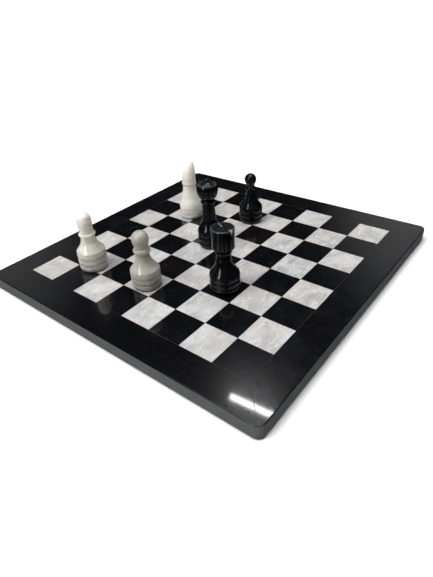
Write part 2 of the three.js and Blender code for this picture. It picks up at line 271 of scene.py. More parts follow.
def new_material(name):
    """A material that holds only its shader and output, as (material, node tree, shader)."""
    material = bpy.data.materials.new(name)
    material.use_nodes = True
    tree = material.node_tree
    return material, tree, tree.nodes["Principled BSDF"]


def stone_space(tree, middle=(0, 0, 0), turn=(0, 0, 0), stretch=(1, 1, 1)):
    """Object coordinates moved so that a piece has its own part of the stone's pattern."""
    source = node(tree, "ShaderNodeTexCoord").outputs["Object"]
    mapping = node(
        tree, "ShaderNodeMapping",
        {"Vector": source, "Location": middle, "Rotation": turn, "Scale": stretch},
    )
    return mapping.outputs["Vector"]


def anywhere(dice):
    """A random place in the stone's pattern."""
    return (dice.uniform(-3, 3), dice.uniform(-3, 3), dice.uniform(-3, 3))


def cloud(tree, vector, scale, detail=4.0, roughness=0.55, distortion=0.0):
    """Soft noise between 0 and 1."""
    texture = node(tree, "ShaderNodeTexNoise", {
        "Vector": vector, "Scale": scale, "Detail": detail,
        "Roughness": roughness, "Distortion": distortion,
    })
    return texture.outputs["Fac"]


def ramp(tree, value, low, high, to_low=0.0, to_high=1.0):
    """Value between low and high turned smoothly into a value between to_low and to_high."""
    made = node(tree, "ShaderNodeMapRange", {
        "Value": value, "From Min": low, "From Max": high, "To Min": to_low, "To Max": to_high,
    }, interpolation_type="SMOOTHSTEP")
    return made.outputs["Result"]


def maths(tree, operation, first, second):
    made = node(tree, "ShaderNodeMath", operation=operation)
    for socket, value in zip(made.inputs, (first, second)):
        if isinstance(value, bpy.types.NodeSocket):
            tree.links.new(value, socket)
        else:
            socket.default_value = value
    return made.outputs[0]


def vein(tree, vector, scale, width, detail=5.0, distortion=1.0):
    """Thin lines where soft noise crosses its middle value: 1 on a line and 0 away from it."""
    soft = cloud(tree, vector, scale, detail, distortion=distortion)
    away = maths(tree, "ABSOLUTE", maths(tree, "SUBTRACT", soft, 0.5), 0.0)
    return ramp(tree, away, width, 0.0)


def speck(tree, vector, scale, radius, share_seen):
    """Small irregular spots, of which only a share is seen."""
    cells = node(tree, "ShaderNodeTexVoronoi", {"Vector": vector, "Scale": scale, "Randomness": 1.0})
    spots = ramp(tree, cells.outputs["Distance"], radius, radius * 0.4)
    patches = ramp(tree, cloud(tree, vector, scale * 0.21, 3.0), 1 - share_seen, 1.06 - share_seen)
    return maths(tree, "MULTIPLY", spots, patches)


def blend(tree, factor, first, second):
    """Colour that goes from first to second. Each is a socket or red, green and blue."""
    made = node(tree, "ShaderNodeMix", data_type="RGBA")
    tree.links.new(factor, made.inputs["Factor"])
    for socket, value in zip((made.inputs[6], made.inputs[7]), (first, second)):
        if isinstance(value, bpy.types.NodeSocket):
            tree.links.new(value, socket)
        else:
            socket.default_value = (*value, 1.0)
    return made.outputs[2]


def bump(tree, shader, height, strength, distance):
    made = node(tree, "ShaderNodeBump", {"Height": height, "Strength": strength, "Distance": distance})
    tree.links.new(made.outputs["Normal"], shader.inputs["Normal"])


def finish(tree, shader, colour_value, roughness, **fixed):
    """Links the colour and roughness, and sets what is the same all over the surface."""
    tree.links.new(colour_value, shader.inputs["Base Color"])
    tree.links.new(roughness, shader.inputs["Roughness"])
    for name, value in fixed.items():
        shader.inputs[name.replace("_", " ")].default_value = value


# ---- Stones ---------------------------------------------------------------------------------------

ONYX_CHANGE = (30 * MM, 60 * MM)  # heights between which a white man's lower tone turns to its upper


def light_marble(name, shade_towards_h8, dice):
    """Polished white marble with fibrous grey streaks and warm clouds. The warm, darker clouds spread
    towards square h8, which is painted shade across the board.
    """
    look = bpy.context.scene.chess_board
    material, tree, shader = new_material(name)
    turn = (0, 0, dice.uniform(0, math.tau))
    offset = anywhere(dice)
    even = stone_space(tree, offset, turn)
    drawn = stone_space(tree, offset, turn, (0.32, 1.0, 1.0))
    clouds = ramp(tree, cloud(tree, even, 48, 5, distortion=0.8), 0.34, 0.68)
    streaks = ramp(tree, cloud(tree, drawn, 210, 6, 0.62, 1.6), 0.36, 0.72)
    # warm clouds, with painted shade that grows from a1 towards h8
    warm_clouds_and_shade = ramp(tree, cloud(tree, even, 30, 2), 0.38, 0.70, 0.55 * shade_towards_h8, 0.55 + 0.45 * shade_towards_h8)
    threads = maths(tree, "MULTIPLY", vein(tree, drawn, 95, 0.035, distortion=1.4), 0.45)
    shade = maths(tree, "MULTIPLY", clouds, maths(tree, "ADD", streaks, 0.35))
    depth = dice.uniform(0.6, 0.95)
    body = blend(tree, warm_clouds_and_shade, look.light_stone, look.light_tint_and_shade)
    veined = blend(tree, maths(tree, "MULTIPLY", shade, depth), body, look.light_vein)
    bright = blend(tree, threads, veined, MARBLE_THREAD)
    roughness = ramp(tree, streaks, 0.0, 1.0, 0.16, 0.30)
    finish(tree, shader, bright, roughness, Subsurface_Weight=0.12, Subsurface_Scale=0.003)
    bump(tree, shader, streaks, 0.06, 0.2 * MM)
    return material


def polished_dark(name, dice, warm, cloudiness):
    """Polished near-black stone with blue-grey clouds and a few pale specks."""
    look = bpy.context.scene.chess_board
    material, tree, shader = new_material(name)
    offset = anywhere(dice)
    even = stone_space(tree, offset, (0, 0, dice.uniform(0, math.tau)))
    clouds = ramp(tree, cloud(tree, even, 55, 6, 0.6, 0.7), 0.42, 0.78, 0.0, cloudiness)
    brown = ramp(tree, cloud(tree, even, 22, 3), 0.5, 0.75, 0.0, warm)
    body = blend(tree, clouds, look.dark_stone, look.dark_cloud)
    tinted = blend(tree, brown, body, BROWN_TINGE)
    spots = maths(tree, "MULTIPLY", speck(tree, even, 620, 0.28, 0.34), 0.4)
    stone = blend(tree, spots, tinted, look.dark_fossil)
    scuffs = ramp(tree, cloud(tree, even, 260, 5, 0.7), 0.45, 0.8, 0.21, 0.32)
    finish(
        tree, shader, stone, scuffs,
        Specular_IOR_Level=0.33, Coat_Weight=0.7, Coat_Roughness=0.05, Coat_IOR=1.5,
    )
    bump(tree, shader, scuffs, 0.02, 0.05 * MM)
    return material


def honed_side(name, dice):
    """Matte grey of the same dark stone where it was sawn and rubbed but not polished."""
    look = bpy.context.scene.chess_board
    material, tree, shader = new_material(name)
    offset = anywhere(dice)
    even = stone_space(tree, offset)
    patches = ramp(tree, cloud(tree, even, 26, 5, 0.6), 0.35, 0.7)
    grit = ramp(tree, cloud(tree, even, 900, 4, 0.7), 0.3, 0.7)
    sawn = stone_space(tree, offset, (0.5, 0.4, 0), (1, 1, 7))
    saw = ramp(tree, cloud(tree, sawn, 120, 4), 0.4, 0.75)
    shaded = maths(tree, "MULTIPLY", patches, 0.55)
    dim = blend(tree, shaded, look.honed_stone, HONED_SHADE)
    lit = blend(tree, maths(tree, "MULTIPLY", saw, 0.35), dim, HONED_SAWN)
    stone = blend(tree, maths(tree, "MULTIPLY", grit, 0.25), lit, HONED_GRIT)
    roughness = ramp(tree, patches, 0, 1, 0.55, 0.75)
    finish(tree, shader, stone, roughness)
    bump(tree, shader, maths(tree, "ADD", grit, saw), 0.25, 0.12 * MM)
    return material


def backing_stone():
    """Rough-sawn grey slab under the board."""
    material, tree, shader = new_material("backing_stone")
    even = stone_space(tree)
    patches = ramp(tree, cloud(tree, even, 18, 6, 0.65), 0.35, 0.7)
    saw = ramp(tree, cloud(tree, stone_space(tree, stretch=(0.08, 1, 1)), 340, 3), 0.35, 0.7)
    body = blend(tree, patches, BACKING_DARK, BACKING_PALE)
    stone = blend(tree, maths(tree, "MULTIPLY", saw, 0.3), body, BACKING_SAWN)
    finish(tree, shader, stone, ramp(tree, saw, 0, 1, 0.7, 0.85))
    bump(tree, shader, saw, 0.4, 0.15 * MM)
    return material


def joint_resin():
    """Dark filler between the stones, dusty in places."""
    look = bpy.context.scene.chess_board
    material, tree, shader = new_material("joint_resin")
    even = stone_space(tree)
    dust = ramp(tree, cloud(tree, even, 90, 5, 0.7), 0.45, 0.75)
    resin = blend(tree, dust, look.filler, JOINT_DUST)
    finish(tree, shader, resin, ramp(tree, dust, 0, 1, 0.35, 0.7))
    bump(tree, shader, dust, 0.2, 0.05 * MM)
    return material


def white_onyx(low_colour, high_colour, name, dice):
    """Polished onyx that lets light in, with soft clouds and one tone above another."""
    material, tree, shader = new_material(name)
    offset = anywhere(dice)
    turn = (dice.uniform(-0.5, 0.5), dice.uniform(-0.5, 0.5), dice.uniform(0, math.tau))
    even = stone_space(tree, offset, turn)
    layered = stone_space(tree, offset, turn, (1, 1, 3.2))
    clouds = ramp(tree, cloud(tree, layered, 42, 5, 0.55, 1.2), 0.36, 0.70, 0.0, 0.55)
    milk = maths(tree, "MULTIPLY", vein(tree, layered, 30, 0.05, 4, 1.5), 0.3)
    height = node(tree, "ShaderNodeSeparateXYZ", {"Vector": stone_space(tree)}).outputs["Z"]
    # lower tone to upper tone; on the first white pawn the lighter upper tone is partly painted light
    layer = ramp(tree, height, *ONYX_CHANGE)
    toned = blend(tree, layer, low_colour, high_colour)
    darker = [c * f for c, f in zip(low_colour, (0.80, 0.79, 0.76))]
    lighter = [min(1.0, c * 1.2) for c in high_colour]
    body = blend(tree, clouds, toned, darker)
    worn = node(tree, "ShaderNodeAttribute", attribute_name="edge_wear").outputs["Fac"]
    rubbed = maths(tree, "MAXIMUM", milk, ramp(tree, worn, 0.2, 1.0, 0.0, 0.5))
    pale = blend(tree, rubbed, body, lighter)
    stone = blend(tree, ramp(tree, worn, -0.1, -0.7, 0.0, 0.6), pale, ONYX_GROOVE)
    roughness = ramp(tree, cloud(tree, even, 160, 4), 0.3, 0.7, 0.07, 0.14)
    finish(
        tree, shader, stone, roughness, Specular_IOR_Level=0.6,
        Subsurface_Weight=0.9, Subsurface_Scale=0.014, Subsurface_Radius=(1.0, 0.93, 0.80),
    )
    bump(tree, shader, cloud(tree, even, 260, 3), 0.03, 0.1 * MM)
    return material


def black_onyx(name, dice):
    """Polished black stone, scuffed pale along its worn edges, whitish where it is chipped, and with a
    painted highlight along the rook's saw cut and rim.
    """
    look = bpy.context.scene.chessmen
    material, tree, shader = new_material(name)
    offset = anywhere(dice)
    even = stone_space(tree, offset)
    clouds = ramp(tree, cloud(tree, even, 90, 5, 0.6, 0.6), 0.4, 0.75)
    worn = node(tree, "ShaderNodeAttribute", attribute_name="edge_wear").outputs["Fac"]
    patchy = ramp(tree, cloud(tree, even, 330, 5, 0.7), 0.40, 0.62)
    edges = maths(tree, "MULTIPLY", ramp(tree, worn, 0.35, 1.0, 0.0, 0.8), patchy)
    dusty = maths(tree, "MULTIPLY", ramp(tree, worn, -0.2, -0.9, 0.0, 0.3), patchy)
    scuffs = maths(tree, "MAXIMUM", edges, dusty)
    body = blend(tree, clouds, look.black_stone, BLACK_CLOUD)
    stone = blend(tree, scuffs, body, look.black_scuff)
    # whitish fresh stone in chips, and on the rook a painted highlight along a saw cut and the rim's edge
    chips_and_highlight = node(tree, "ShaderNodeAttribute", attribute_name="chips_and_highlight").outputs["Fac"]
    crumbs = ramp(tree, cloud(tree, even, 420, 4, 0.7), 0.34, 0.60, 0.25, 1.0)
    chalky = maths(tree, "MULTIPLY", chips_and_highlight, crumbs)
    marked = blend(tree, chalky, stone, look.fresh_stone)
    rough = maths(tree, "MAXIMUM", scuffs, maths(tree, "MULTIPLY", chips_and_highlight, 2.0))
    finish(tree, shader, marked, ramp(tree, rough, 0, 1, 0.15, 0.5), Specular_IOR_Level=0.28)
    bump(tree, shader, maths(tree, "MULTIPLY", crumbs, rough), 0.5, 0.15 * MM)
    return material


def felt_cloth():
    """Short-napped green felt."""
    look = bpy.context.scene.chessmen
    material, tree, shader = new_material("felt_cloth")
    fibres = cloud(tree, stone_space(tree), 1500, 5, 0.75)
    tufts = ramp(tree, fibres, 0.35, 0.65)
    cloth = blend(tree, tufts, look.felt, FELT_TUFT)
    finish(tree, shader, cloth, ramp(tree, tufts, 0, 1, 0.85, 1.0), Sheen_Weight=0.4, Sheen_Roughness=0.5)
    bump(tree, shader, fibres, 0.6, 0.2 * MM)
    return material


def foot_rubber():
    """Matte dark rubber with fine moulded grain."""
    material, tree, shader = new_material("foot_rubber")
    grain = cloud(tree, stone_space(tree), 1100, 4, 0.6)
    tint = ramp(tree, grain, 0.35, 0.65)
    rubber = blend(tree, tint, RUBBER_DARK, RUBBER_PALE)
    finish(tree, shader, rubber, ramp(tree, tint, 0, 1, 0.6, 0.8))
    bump(tree, shader, grain, 0.3, 0.08 * MM)
    return material


# ---- Mesh building blocks -------------------------------------------------------------------------

SAME_HEIGHT = 1e-7  # an edge whose ends differ less than this in height is level


def put(name, data):
    """A new object in the scene."""
    made = bpy.data.objects.new(name, data)
    bpy.context.scene.collection.objects.link(made)
    return made


def mesh_from(bm, name):
    """The bmesh as a mesh. It is used up."""
    mesh = bpy.data.meshes.new(name)
    bm.to_mesh(mesh)
    bm.free()
    return mesh


def new_piece(name, bm, materials, body, replaced):
    """A finished piece: its mesh is in place, it rides on its body and stands for its CAD nodes."""
    mesh = mesh_from(bm, name)
    for material in materials:
        mesh.materials.append(material)
    piece = put(name, mesh)
    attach(piece, body)
    if replaced:
        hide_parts(*replaced)
    return piece


def fill_box(bm, low, high):
    """Turns an empty bmesh into the block between two corners."""
    bmesh.ops.create_cube(bm, size=1)
    bmesh.ops.scale(bm, vec=high - low, verts=bm.verts)
    bmesh.ops.translate(bm, vec=(low + high) / 2, verts=bm.verts)


def thicken_down(bm, depth):
    """Turns a flat outline into a solid that reaches down by depth."""
    lower = bmesh.ops.extrude_face_region(bm, geom=bm.faces[:])["geom"]
    moved = [g for g in lower if isinstance(g, bmesh.types.BMVert)]
    bmesh.ops.translate(bm, vec=(0, 0, -depth), verts=moved)
    bmesh.ops.recalc_face_normals(bm, faces=bm.faces[:])


def disc(low, high, taper, segments):
    """A disc that fills a box and narrows upwards by taper."""
    bm = bmesh.new()
    radius = (high.x - low.x) / 2
    bmesh.ops.create_cone(
        bm, cap_ends=True, segments=segments, radius1=radius, radius2=radius * taper,
        depth=high.z - low.z,
    )
    bmesh.ops.translate(bm, vec=(low + high) / 2, verts=bm.verts)
    return bm


def level_edges(bm):
    return [e for e in bm.edges if abs(e.verts[0].co.z - e.verts[1].co.z) < SAME_HEIGHT]


def ease(bm, edges, radius, segments):
    bmesh.ops.bevel(
        bm, geom=edges, offset=radius, offset_type="OFFSET", segments=segments,
        profile=0.5, affect="EDGES", material=-1, clamp_overlap=True,
    )


def cut(bm, point, normal, clear_outer=False):
    """Cuts the whole mesh along a plane. With clear_outer, what is on the normal's side goes."""
    geometry = bm.verts[:] + bm.edges[:] + bm.faces[:]
    bmesh.ops.bisect_plane(
        bm, geom=geometry, dist=1e-7, plane_co=point, plane_no=normal, clear_outer=clear_outer
    )


def stone_block(low, high, arris):
    """A block with its top edges eased."""
    bm = bmesh.new()
    fill_box(bm, low, high)
    near = arris / 2
    top_edges = [e for e in bm.edges if all(v.co.z > high.z - near for v in e.verts)]
    ease(bm, top_edges, arris, 2)
    return bm


def shade_turned(mesh, angle=32):
    """Smooth shading that keeps the corners crisp."""
    mesh.shade_smooth()
    mesh.set_sharp_from_angle(angle=math.radians(angle))


# ---- Board pieces ---------------------------------------------------------------------------------

BORDER_TONES = {  # warmth and cloudiness of each strip's stone, counterclockwise from the +Y side
    "border_rank_8": (0.5, 0.8),
    "border_file_a": (0.15, 0.1),
    "border_rank_1": (0.2, 1.0),
    "border_file_h": (0.3, 0.7),
}
NEAR = 1e-5  # two places this close are the same
STRIP_CUTS = 110  # cross cuts along a border strip, so that its rim can wear unevenly
CORNER_SEGMENTS = 16
RIM_SEGMENTS = 4
SIDE_START = 0.72  # share of the rim's height at which the honed side starts


def border_outline():
    """Flat outline of the +Y strip: the rounded square, cut back to the field and to the mitres."""
    bm = bmesh.new()
    bmesh.ops.create_grid(bm, x_segments=1, y_segments=1, size=BOARD_HALF)
    bmesh.ops.translate(bm, vec=(0, 0, BOARD_TOP), verts=bm.verts)
    bmesh.ops.bevel(
        bm, geom=bm.verts[:], offset=CORNER_RADIUS, offset_type="OFFSET", segments=CORNER_SEGMENTS,
        profile=0.5, affect="VERTICES", material=-1, clamp_overlap=True,
    )
    cut(bm, (0, FRAME_INNER_HALF, 0), (0, -1, 0), clear_outer=True)
    mitre = FRAME_INNER_HALF - JOINT * math.sqrt(0.5)
    cut(bm, (mitre, FRAME_INNER_HALF, 0), (1, -1, 0), clear_outer=True)
    cut(bm, (-mitre, FRAME_INNER_HALF, 0), (-1, -1, 0), clear_outer=True)
    return bm


def wear_rim(bm, radius, deepest, seed):
    """Pushes the rounded rim inwards a little here and there, with a few deeper chips."""
    near = 0.02 * radius
    reach = radius * 1.05
    for vert in bm.verts:
        depth_in = BOARD_HALF - vert.co.y
        depth_down = BOARD_TOP - vert.co.z
        if max(depth_in, depth_down) > reach:
            continue
        spot = Vector((vert.co.x * 150 + seed, vert.co.z * 420, seed))
        wave = 0.22 * (0.5 + 0.5 * noise.noise(spot * 0.8))
        chip = max(0.0, noise.noise(spot * 2.6) - 0.38) * 2.2
        push = deepest * (wave + chip)
        if depth_down > near:
            vert.co.z -= push * 0.4 * min(1.0, depth_in / radius)
        if depth_in > near:
            vert.co.y -= push * 0.6 * min(1.0, depth_in / radius)


def border_strip(look, seed):
    """The +Y strip: mitred, with half of each rounded corner and a rounded, worn top rim."""
    bm = border_outline()
    for step in range(1, STRIP_CUTS):
        x = BOARD_HALF * (2 * step / STRIP_CUTS - 1)
        cut(bm, (x, 0, 0), (1, 0, 0))
    thicken_down(bm, BOARD_TOP - BOARD_BOTTOM)
    corner_start = BOARD_HALF - CORNER_RADIUS

    def on_rim(vert):
        x, y = abs(vert.co.x), vert.co.y
        if x < corner_start:
            return y > BOARD_HALF - NEAR
        return math.hypot(x - corner_start, y - corner_start) > CORNER_RADIUS - 2 * NEAR

    def at_top(vert):
        return vert.co.z > BOARD_TOP - NEAR

    rim = [e for e in bm.edges if all(on_rim(v) and at_top(v) for v in e.verts)]
    ease(bm, rim, look.rim_radius, RIM_SEGMENTS)
    wear_rim(bm, look.rim_radius, look.rim_wear, seed)
    return bm


def assign_sides(bm, look):
    """Polished faces keep material 0, and the honed sides and the underside take material 1."""
    for face in bm.faces:
        outer = face.calc_center_median()
        low = outer.z < BOARD_TOP - look.rim_radius * SIDE_START
        face.material_index = 1 if low else 0
        face.smooth = True


def joint_lattice(look):
    """Filler that stands in every joint of the playing field and round it, as one lattice."""
    bm = bmesh.new()
    bmesh.ops.create_grid(bm, x_segments=SQUARES, y_segments=SQUARES, size=FIELD_HALF)
    clearance = 0.01 * MM
    panes = bmesh.ops.inset_individual(
        bm, faces=bm.faces[:], thickness=JOINT / 2 - clearance, depth=0, use_even_offset=True
    )
    rims = set(panes["faces"])
    bmesh.ops.delete(bm, geom=[f for f in bm.faces if f not in rims], context="FACES")
    outside = [v for v in bm.verts if max(abs(v.co.x), abs(v.co.y)) > FIELD_HALF - clearance]
    spread = (FRAME_INNER_HALF - clearance) / FIELD_HALF
    for vert in outside:
        for axis in (0, 1):
            if abs(vert.co[axis]) > FIELD_HALF - clearance:
                vert.co[axis] *= spread
    top = BOARD_TOP - look.joint_depth
    bmesh.ops.translate(bm, vec=(0, 0, top), verts=bm.verts)
    thicken_down(bm, TILE_SIZE.z - 2 * look.joint_depth)
    return bm


def mitre_fin(look, quarter):
    """Filler in one corner's mitred joint, with its outer top edge rounded like the rim."""
    gap = 0.03 * MM
    inner = FRAME_INNER_HALF * math.sqrt(2) + gap
    outer = (BOARD_HALF - CORNER_RADIUS) * math.sqrt(2) + CORNER_RADIUS - gap
    low = Vector((inner, (gap - JOINT) / 2, BOARD_BOTTOM + gap))
    high = Vector((outer, (JOINT - gap) / 2, BOARD_TOP - gap))
    bm = bmesh.new()
    fill_box(bm, low, high)
    ends = [e for e in bm.edges if all(v.co.x > outer - gap and v.co.z > high.z - gap for v in e.verts)]
    bmesh.ops.bevel(
        bm, geom=ends, offset=look.rim_radius, offset_type="OFFSET", segments=RIM_SEGMENTS,
        profile=0.5, affect="EDGES", material=-1, clamp_overlap=False,
    )
    for face in bm.faces:
        middle = face.calc_center_median()
        low_end = middle.x > outer - gap and middle.z < BOARD_TOP - look.rim_radius * SIDE_START
        face.material_index = 1 if low_end else 0
    turn = Matrix.Rotation(math.radians(45 + 90 * quarter), 4, "Z")
    bmesh.ops.transform(bm, matrix=turn, verts=bm.verts)
    return bm


def rubber_foot(low, high):
    """A moulded foot with a rounded rim and a shallow cup underneath."""
    bm = disc(low, high, 0.94, 48)
    ease(bm, level_edges(bm), 0.4 * MM, 3)
    underside = min(bm.faces, key=lambda f: f.calc_center_median().z)
    bmesh.ops.inset_individual(bm, faces=[underside], thickness=1.2 * MM, depth=0)
    bmesh.ops.inset_individual(bm, faces=[underside], thickness=0.3 * MM, depth=-0.35 * MM)
    return bm


# ---- Turned pieces --------------------------------------------------------------------------------

CURVE_POINTS = 9
CORNER_BEND = math.radians(24)  # a sharper bend of an outline is a corner, and is eased


class TurnedOutline:
    """Half of a turned outline, drawn upwards from the middle of the foot, in millimetres."""

    def __init__(self, foot_radius, start_height=0.0):
        self.points = [Vector((0, 0, start_height)), Vector((foot_radius, 0, start_height))]

    def tip(self):
        return self.points[-1]

    def line(self, radius, rise):
        self.points.append(Vector((radius, 0, self.tip().z + rise)))

    def curve(self, handle_1, handle_2, end):
        """A cubic curve. Handles and end are (radius, height above the tip)."""
        start = self.tip().copy()
        first, second, last = (Vector((r, 0, start.z + z)) for r, z in (handle_1, handle_2, end))
        self.points += interpolate_bezier(start, first, second, last, CURVE_POINTS)[1:]

    def swell(self, radius, end_radius, rise):
        """Swells out to radius halfway up and comes back in to end_radius."""
        start = self.tip().x
        handle = rise / 6
        reach = 2 / 3
        out = start + (radius - start) * reach
        back = end_radius + (radius - end_radius) * reach
        half = rise / 2
        self.curve((out, handle * reach), (radius, half - (half - handle) * reach), (radius, half))
        self.curve((radius, (half - handle) * reach), (back, half - handle * reach), (end_radius, half))

    def spin(self, segments, arris):
        """The solid that the outline makes when it is turned about Z, with its corners eased."""
        bm = bmesh.new()
        verts = [bm.verts.new(p) for p in self.points]
        for first, second in zip(verts, verts[1:]):
            bm.edges.new((first, second))
        corners = []
        for before, here, after in zip(verts, verts[1:], verts[2:]):
            bend = (here.co - before.co).angle(after.co - here.co, 0.0)
            if bend > CORNER_BEND:
                corners.append(here)
        bmesh.ops.bevel(
            bm, geom=corners, offset=arris, offset_type="OFFSET", segments=3,
            profile=0.5, affect="VERTICES", material=-1, clamp_overlap=True,
        )
        for edge in bm.edges[:]:
            cuts = int(edge.calc_length() / LONGEST_STEP)
            if cuts:
                bmesh.ops.subdivide_edges(bm, edges=[edge], cuts=cuts)
        bmesh.ops.spin(
            bm, geom=bm.verts[:] + bm.edges[:], cent=(0, 0, 0), axis=(0, 0, 1), dvec=(0, 0, 0),
            angle=math.tau, steps=segments, use_merge=True, use_normal_flip=False, use_duplicate=False,
        )
        bmesh.ops.remove_doubles(bm, verts=bm.verts[:], dist=1e-3)
        bmesh.ops.recalc_face_normals(bm, faces=bm.faces[:])
        return bm


def lower_body(size, look):
    """Foot, crowned bands, bell, neck and collar, which every chessman has."""
    pen = TurnedOutline(size["foot_radius"])
    band = size["band_radius"]
    pen.line(band, size["foot_bevel"])
    for number in range(1, BAND_COUNT + 1):
        tall = size["band_height"] - (size["foot_bevel"] if number == 1 else 0)
        full = band + look.band_crown
        pen.curve((full, tall * 0.1), (full, tall * 0.72), (band, tall))
        above = size["bell_radius"] if number == BAND_COUNT else band
        floor = band - GROOVE_DEPTH * 4 / 3
        pen.curve((floor, 0.1), (floor, GROOVE_HEIGHT - 0.1), (above, GROOVE_HEIGHT))
    stem, rise = size["stem_radius"], size["stem_height"]
    drop = pen.tip().x - stem
    low, high = (stem + drop * 0.88, 0.1 * rise), (stem + drop * size["stem_fullness"], 0.45 * rise)
    pen.curve(low, high, (stem, rise))
    pen.line(size["neck_radius"], size["neck_height"])
    pen.swell(size["collar_radius"], size["seat_radius"], size["collar_height"])
    return pen


def pawn_outline(size, look):
    pen = lower_body(size, look)
    seat, head = size["seat_radius"], size["head_radius"]
    drop, rise, round_handle = size["head_drop"], size["head_rise"], 0.55
    pen.curve((seat, drop * size["head_taper"]), (head, drop * (1 - round_handle)), (head, drop))
    pen.curve((head, rise * round_handle), (head * round_handle, rise), (0, rise))
    return pen


def rook_outline(size, look):
    pen = lower_body(size, look)
    turret, rim = size["turret_radius"], size["rim_radius"]
    pen.line(turret, size["turret_chamfer"])
    tall = size["turret_height"]
    pen.curve((turret + 0.1, tall * 0.35), (rim - 0.15, tall * 0.7), (rim, tall))
    pen.line(rim - size["rim_bevel"], size["rim_bevel"])
    pen.line(0, 0.12)
    return pen


def queen_outline(size, look):
    """A bowl that closes in to a rim, with a low dome inside it and a knob on top."""
    pen = lower_body(size, look)
    seat, wide, bowl = size["seat_radius"], size["bowl_radius"], size["bowl_height"]
    pen.curve((seat + (wide - seat) * 0.67, bowl * 0.2), (wide, bowl * 0.53), (wide, bowl))
    rim, tall = size["rim_radius"], size["rim_height"]
    pen.curve((wide, tall * 0.37), (wide - (wide - rim) * 0.33, tall * 0.7), (rim, tall))
    dome, rise, knob = size["dome_radius"], size["dome_height"], size["knob_radius"]
    pen.line(dome, -0.25)
    pen.curve((dome * 0.9, rise * 0.4), (dome * 0.6, rise * 0.8), (knob, rise))
    rest = size["knob_height"] + 0.25
    pen.curve((knob * 0.8, rest * 0.1), (knob * 1.2, rest * 0.35), (knob * 1.05, rest * 0.6))
    pen.curve((knob * 0.95, rest * 0.3), (knob * 0.5, rest * 0.4), (0, rest * 0.4))
    return pen


def bishop_outline(size, look):
    """A blunt mitre, before its apex is leant to one side."""
    pen = lower_body(size, look)
    wide, tall = size["mitre_radius"], size["mitre_height"]
    pen.line(wide, size["mitre_flare"])
    rest = tall - size["mitre_flare"]
    pen.curve((wide, tall * 0.45 - size["mitre_flare"]), (wide * 0.49, rest * 0.99), (0, rest))
    return pen


def combine(bm, tool, operation):
    """The solid bm cut by, joined to or limited to the solid tool. Both are used up."""
    base, other = (put("scratch", mesh_from(solid, "scratch")) for solid in (bm, tool))
    modifier = base.modifiers.new("combine", "BOOLEAN")
    modifier.operation = operation
    modifier.object = other
    modifier.solver = "EXACT"
    seen = base.evaluated_get(bpy.context.evaluated_depsgraph_get())
    made = bmesh.new()
    made.from_mesh(seen.to_mesh())
    seen.to_mesh_clear()
    for helper in (base, other):
        mesh = helper.data
        bpy.data.objects.remove(helper)
        bpy.data.meshes.remove(mesh)
    bmesh.ops.remove_doubles(made, verts=made.verts[:], dist=2e-4)
    bmesh.ops.dissolve_degenerate(made, dist=2e-4, edges=made.edges[:])
    return made


def chip_away(solid, radius, angle, reach, height):
    """Takes a small faceted chip out of a rim, at an angle round it, a reach from Z and a height."""
    at = (reach * math.cos(angle), reach * math.sin(angle), height)
    chip = bmesh.new()
    bmesh.ops.create_icosphere(chip, subdivisions=2, radius=radius, matrix=Matrix.Translation(at))
    return combine(solid, chip, "DIFFERENCE")


def rook_solid(size, look, dice):
    """The turret with two saw cuts that cross on its flat top, and chips where they break out."""
    outline = rook_outline(size, look)
    top = outline.tip().z
    solid = outline.spin(look.segments, look.arris)
    reach = 3 * size["rim_radius"]
    for turn in (0, 90):
        blade = bmesh.new()
        turned = Matrix.Rotation(math.radians(size["kerf_turn"] + turn), 4, "Z")
        middle = Matrix.Translation((0, 0, top - size["kerf_depth"] + reach / 2))
        thin = Matrix.Diagonal((reach, size["kerf_width"], reach, 1))
        bmesh.ops.create_cube(blade, size=1, matrix=turned @ middle @ thin)
        solid = combine(solid, blade, "DIFFERENCE")
    for turn in (0, 90, 180, 270):
        for side in (-1, 1):
            angle = math.radians(size["kerf_turn"] + turn + side * dice.uniform(4, 8))
            radius = dice.uniform(0.5, 1.1)
            solid = chip_away(solid, radius, angle, size["rim_radius"] + radius * 0.3, top - 0.1)
    spall = bmesh.new()
    turned = Matrix.Rotation(math.radians(size["notch_turn"]), 4, "Z")
    at_rim = Matrix.Translation((size["rim_radius"] + 0.5, 0, top - 1.9))
    bmesh.ops.create_cone(
        spall, cap_ends=True, segments=7, radius1=0.1, radius2=2.0, depth=4.4, matrix=turned @ at_rim
    )
    solid = combine(solid, spall, "DIFFERENCE")
    return solid, top


def queen_solid(size, look, dice):
    """The crown's rim notched all round and chipped between the notches."""
    outline = queen_outline(size, look)
    solid = outline.spin(look.segments, look.arris)
    rim_top = outline.tip().z - size["dome_height"] - size["knob_height"]
    start = size["dome_radius"] + 0.25
    length_out = 6.0
    notch_middle = rim_top - size["notch_depth"] + size["notch_radius"]
    for number in range(size["notch_count"]):
        angle = math.tau * (number + dice.uniform(-0.08, 0.08)) / size["notch_count"]
        cutter = bmesh.new()
        turned = Matrix.Rotation(angle, 4, "Z")
        moved = Matrix.Translation((start + length_out / 2, 0, notch_middle))
        lying = Matrix.Rotation(math.radians(90), 4, "Y")
        bmesh.ops.create_cone(
            cutter, cap_ends=True, segments=20, radius1=size["notch_radius"],
            radius2=size["notch_radius"] * 1.25, depth=length_out, matrix=turned @ moved @ lying,
        )
        solid = combine(solid, cutter, "DIFFERENCE")
    for _ in range(CROWN_CHIPS):
        angle = dice.uniform(0, math.tau)
        radius = dice.uniform(0.5, 0.9)
        height = rim_top - dice.uniform(0, 0.4)
        solid = chip_away(solid, radius, angle, size["rim_radius"] + radius * 0.4, height)
    return solid, rim_top


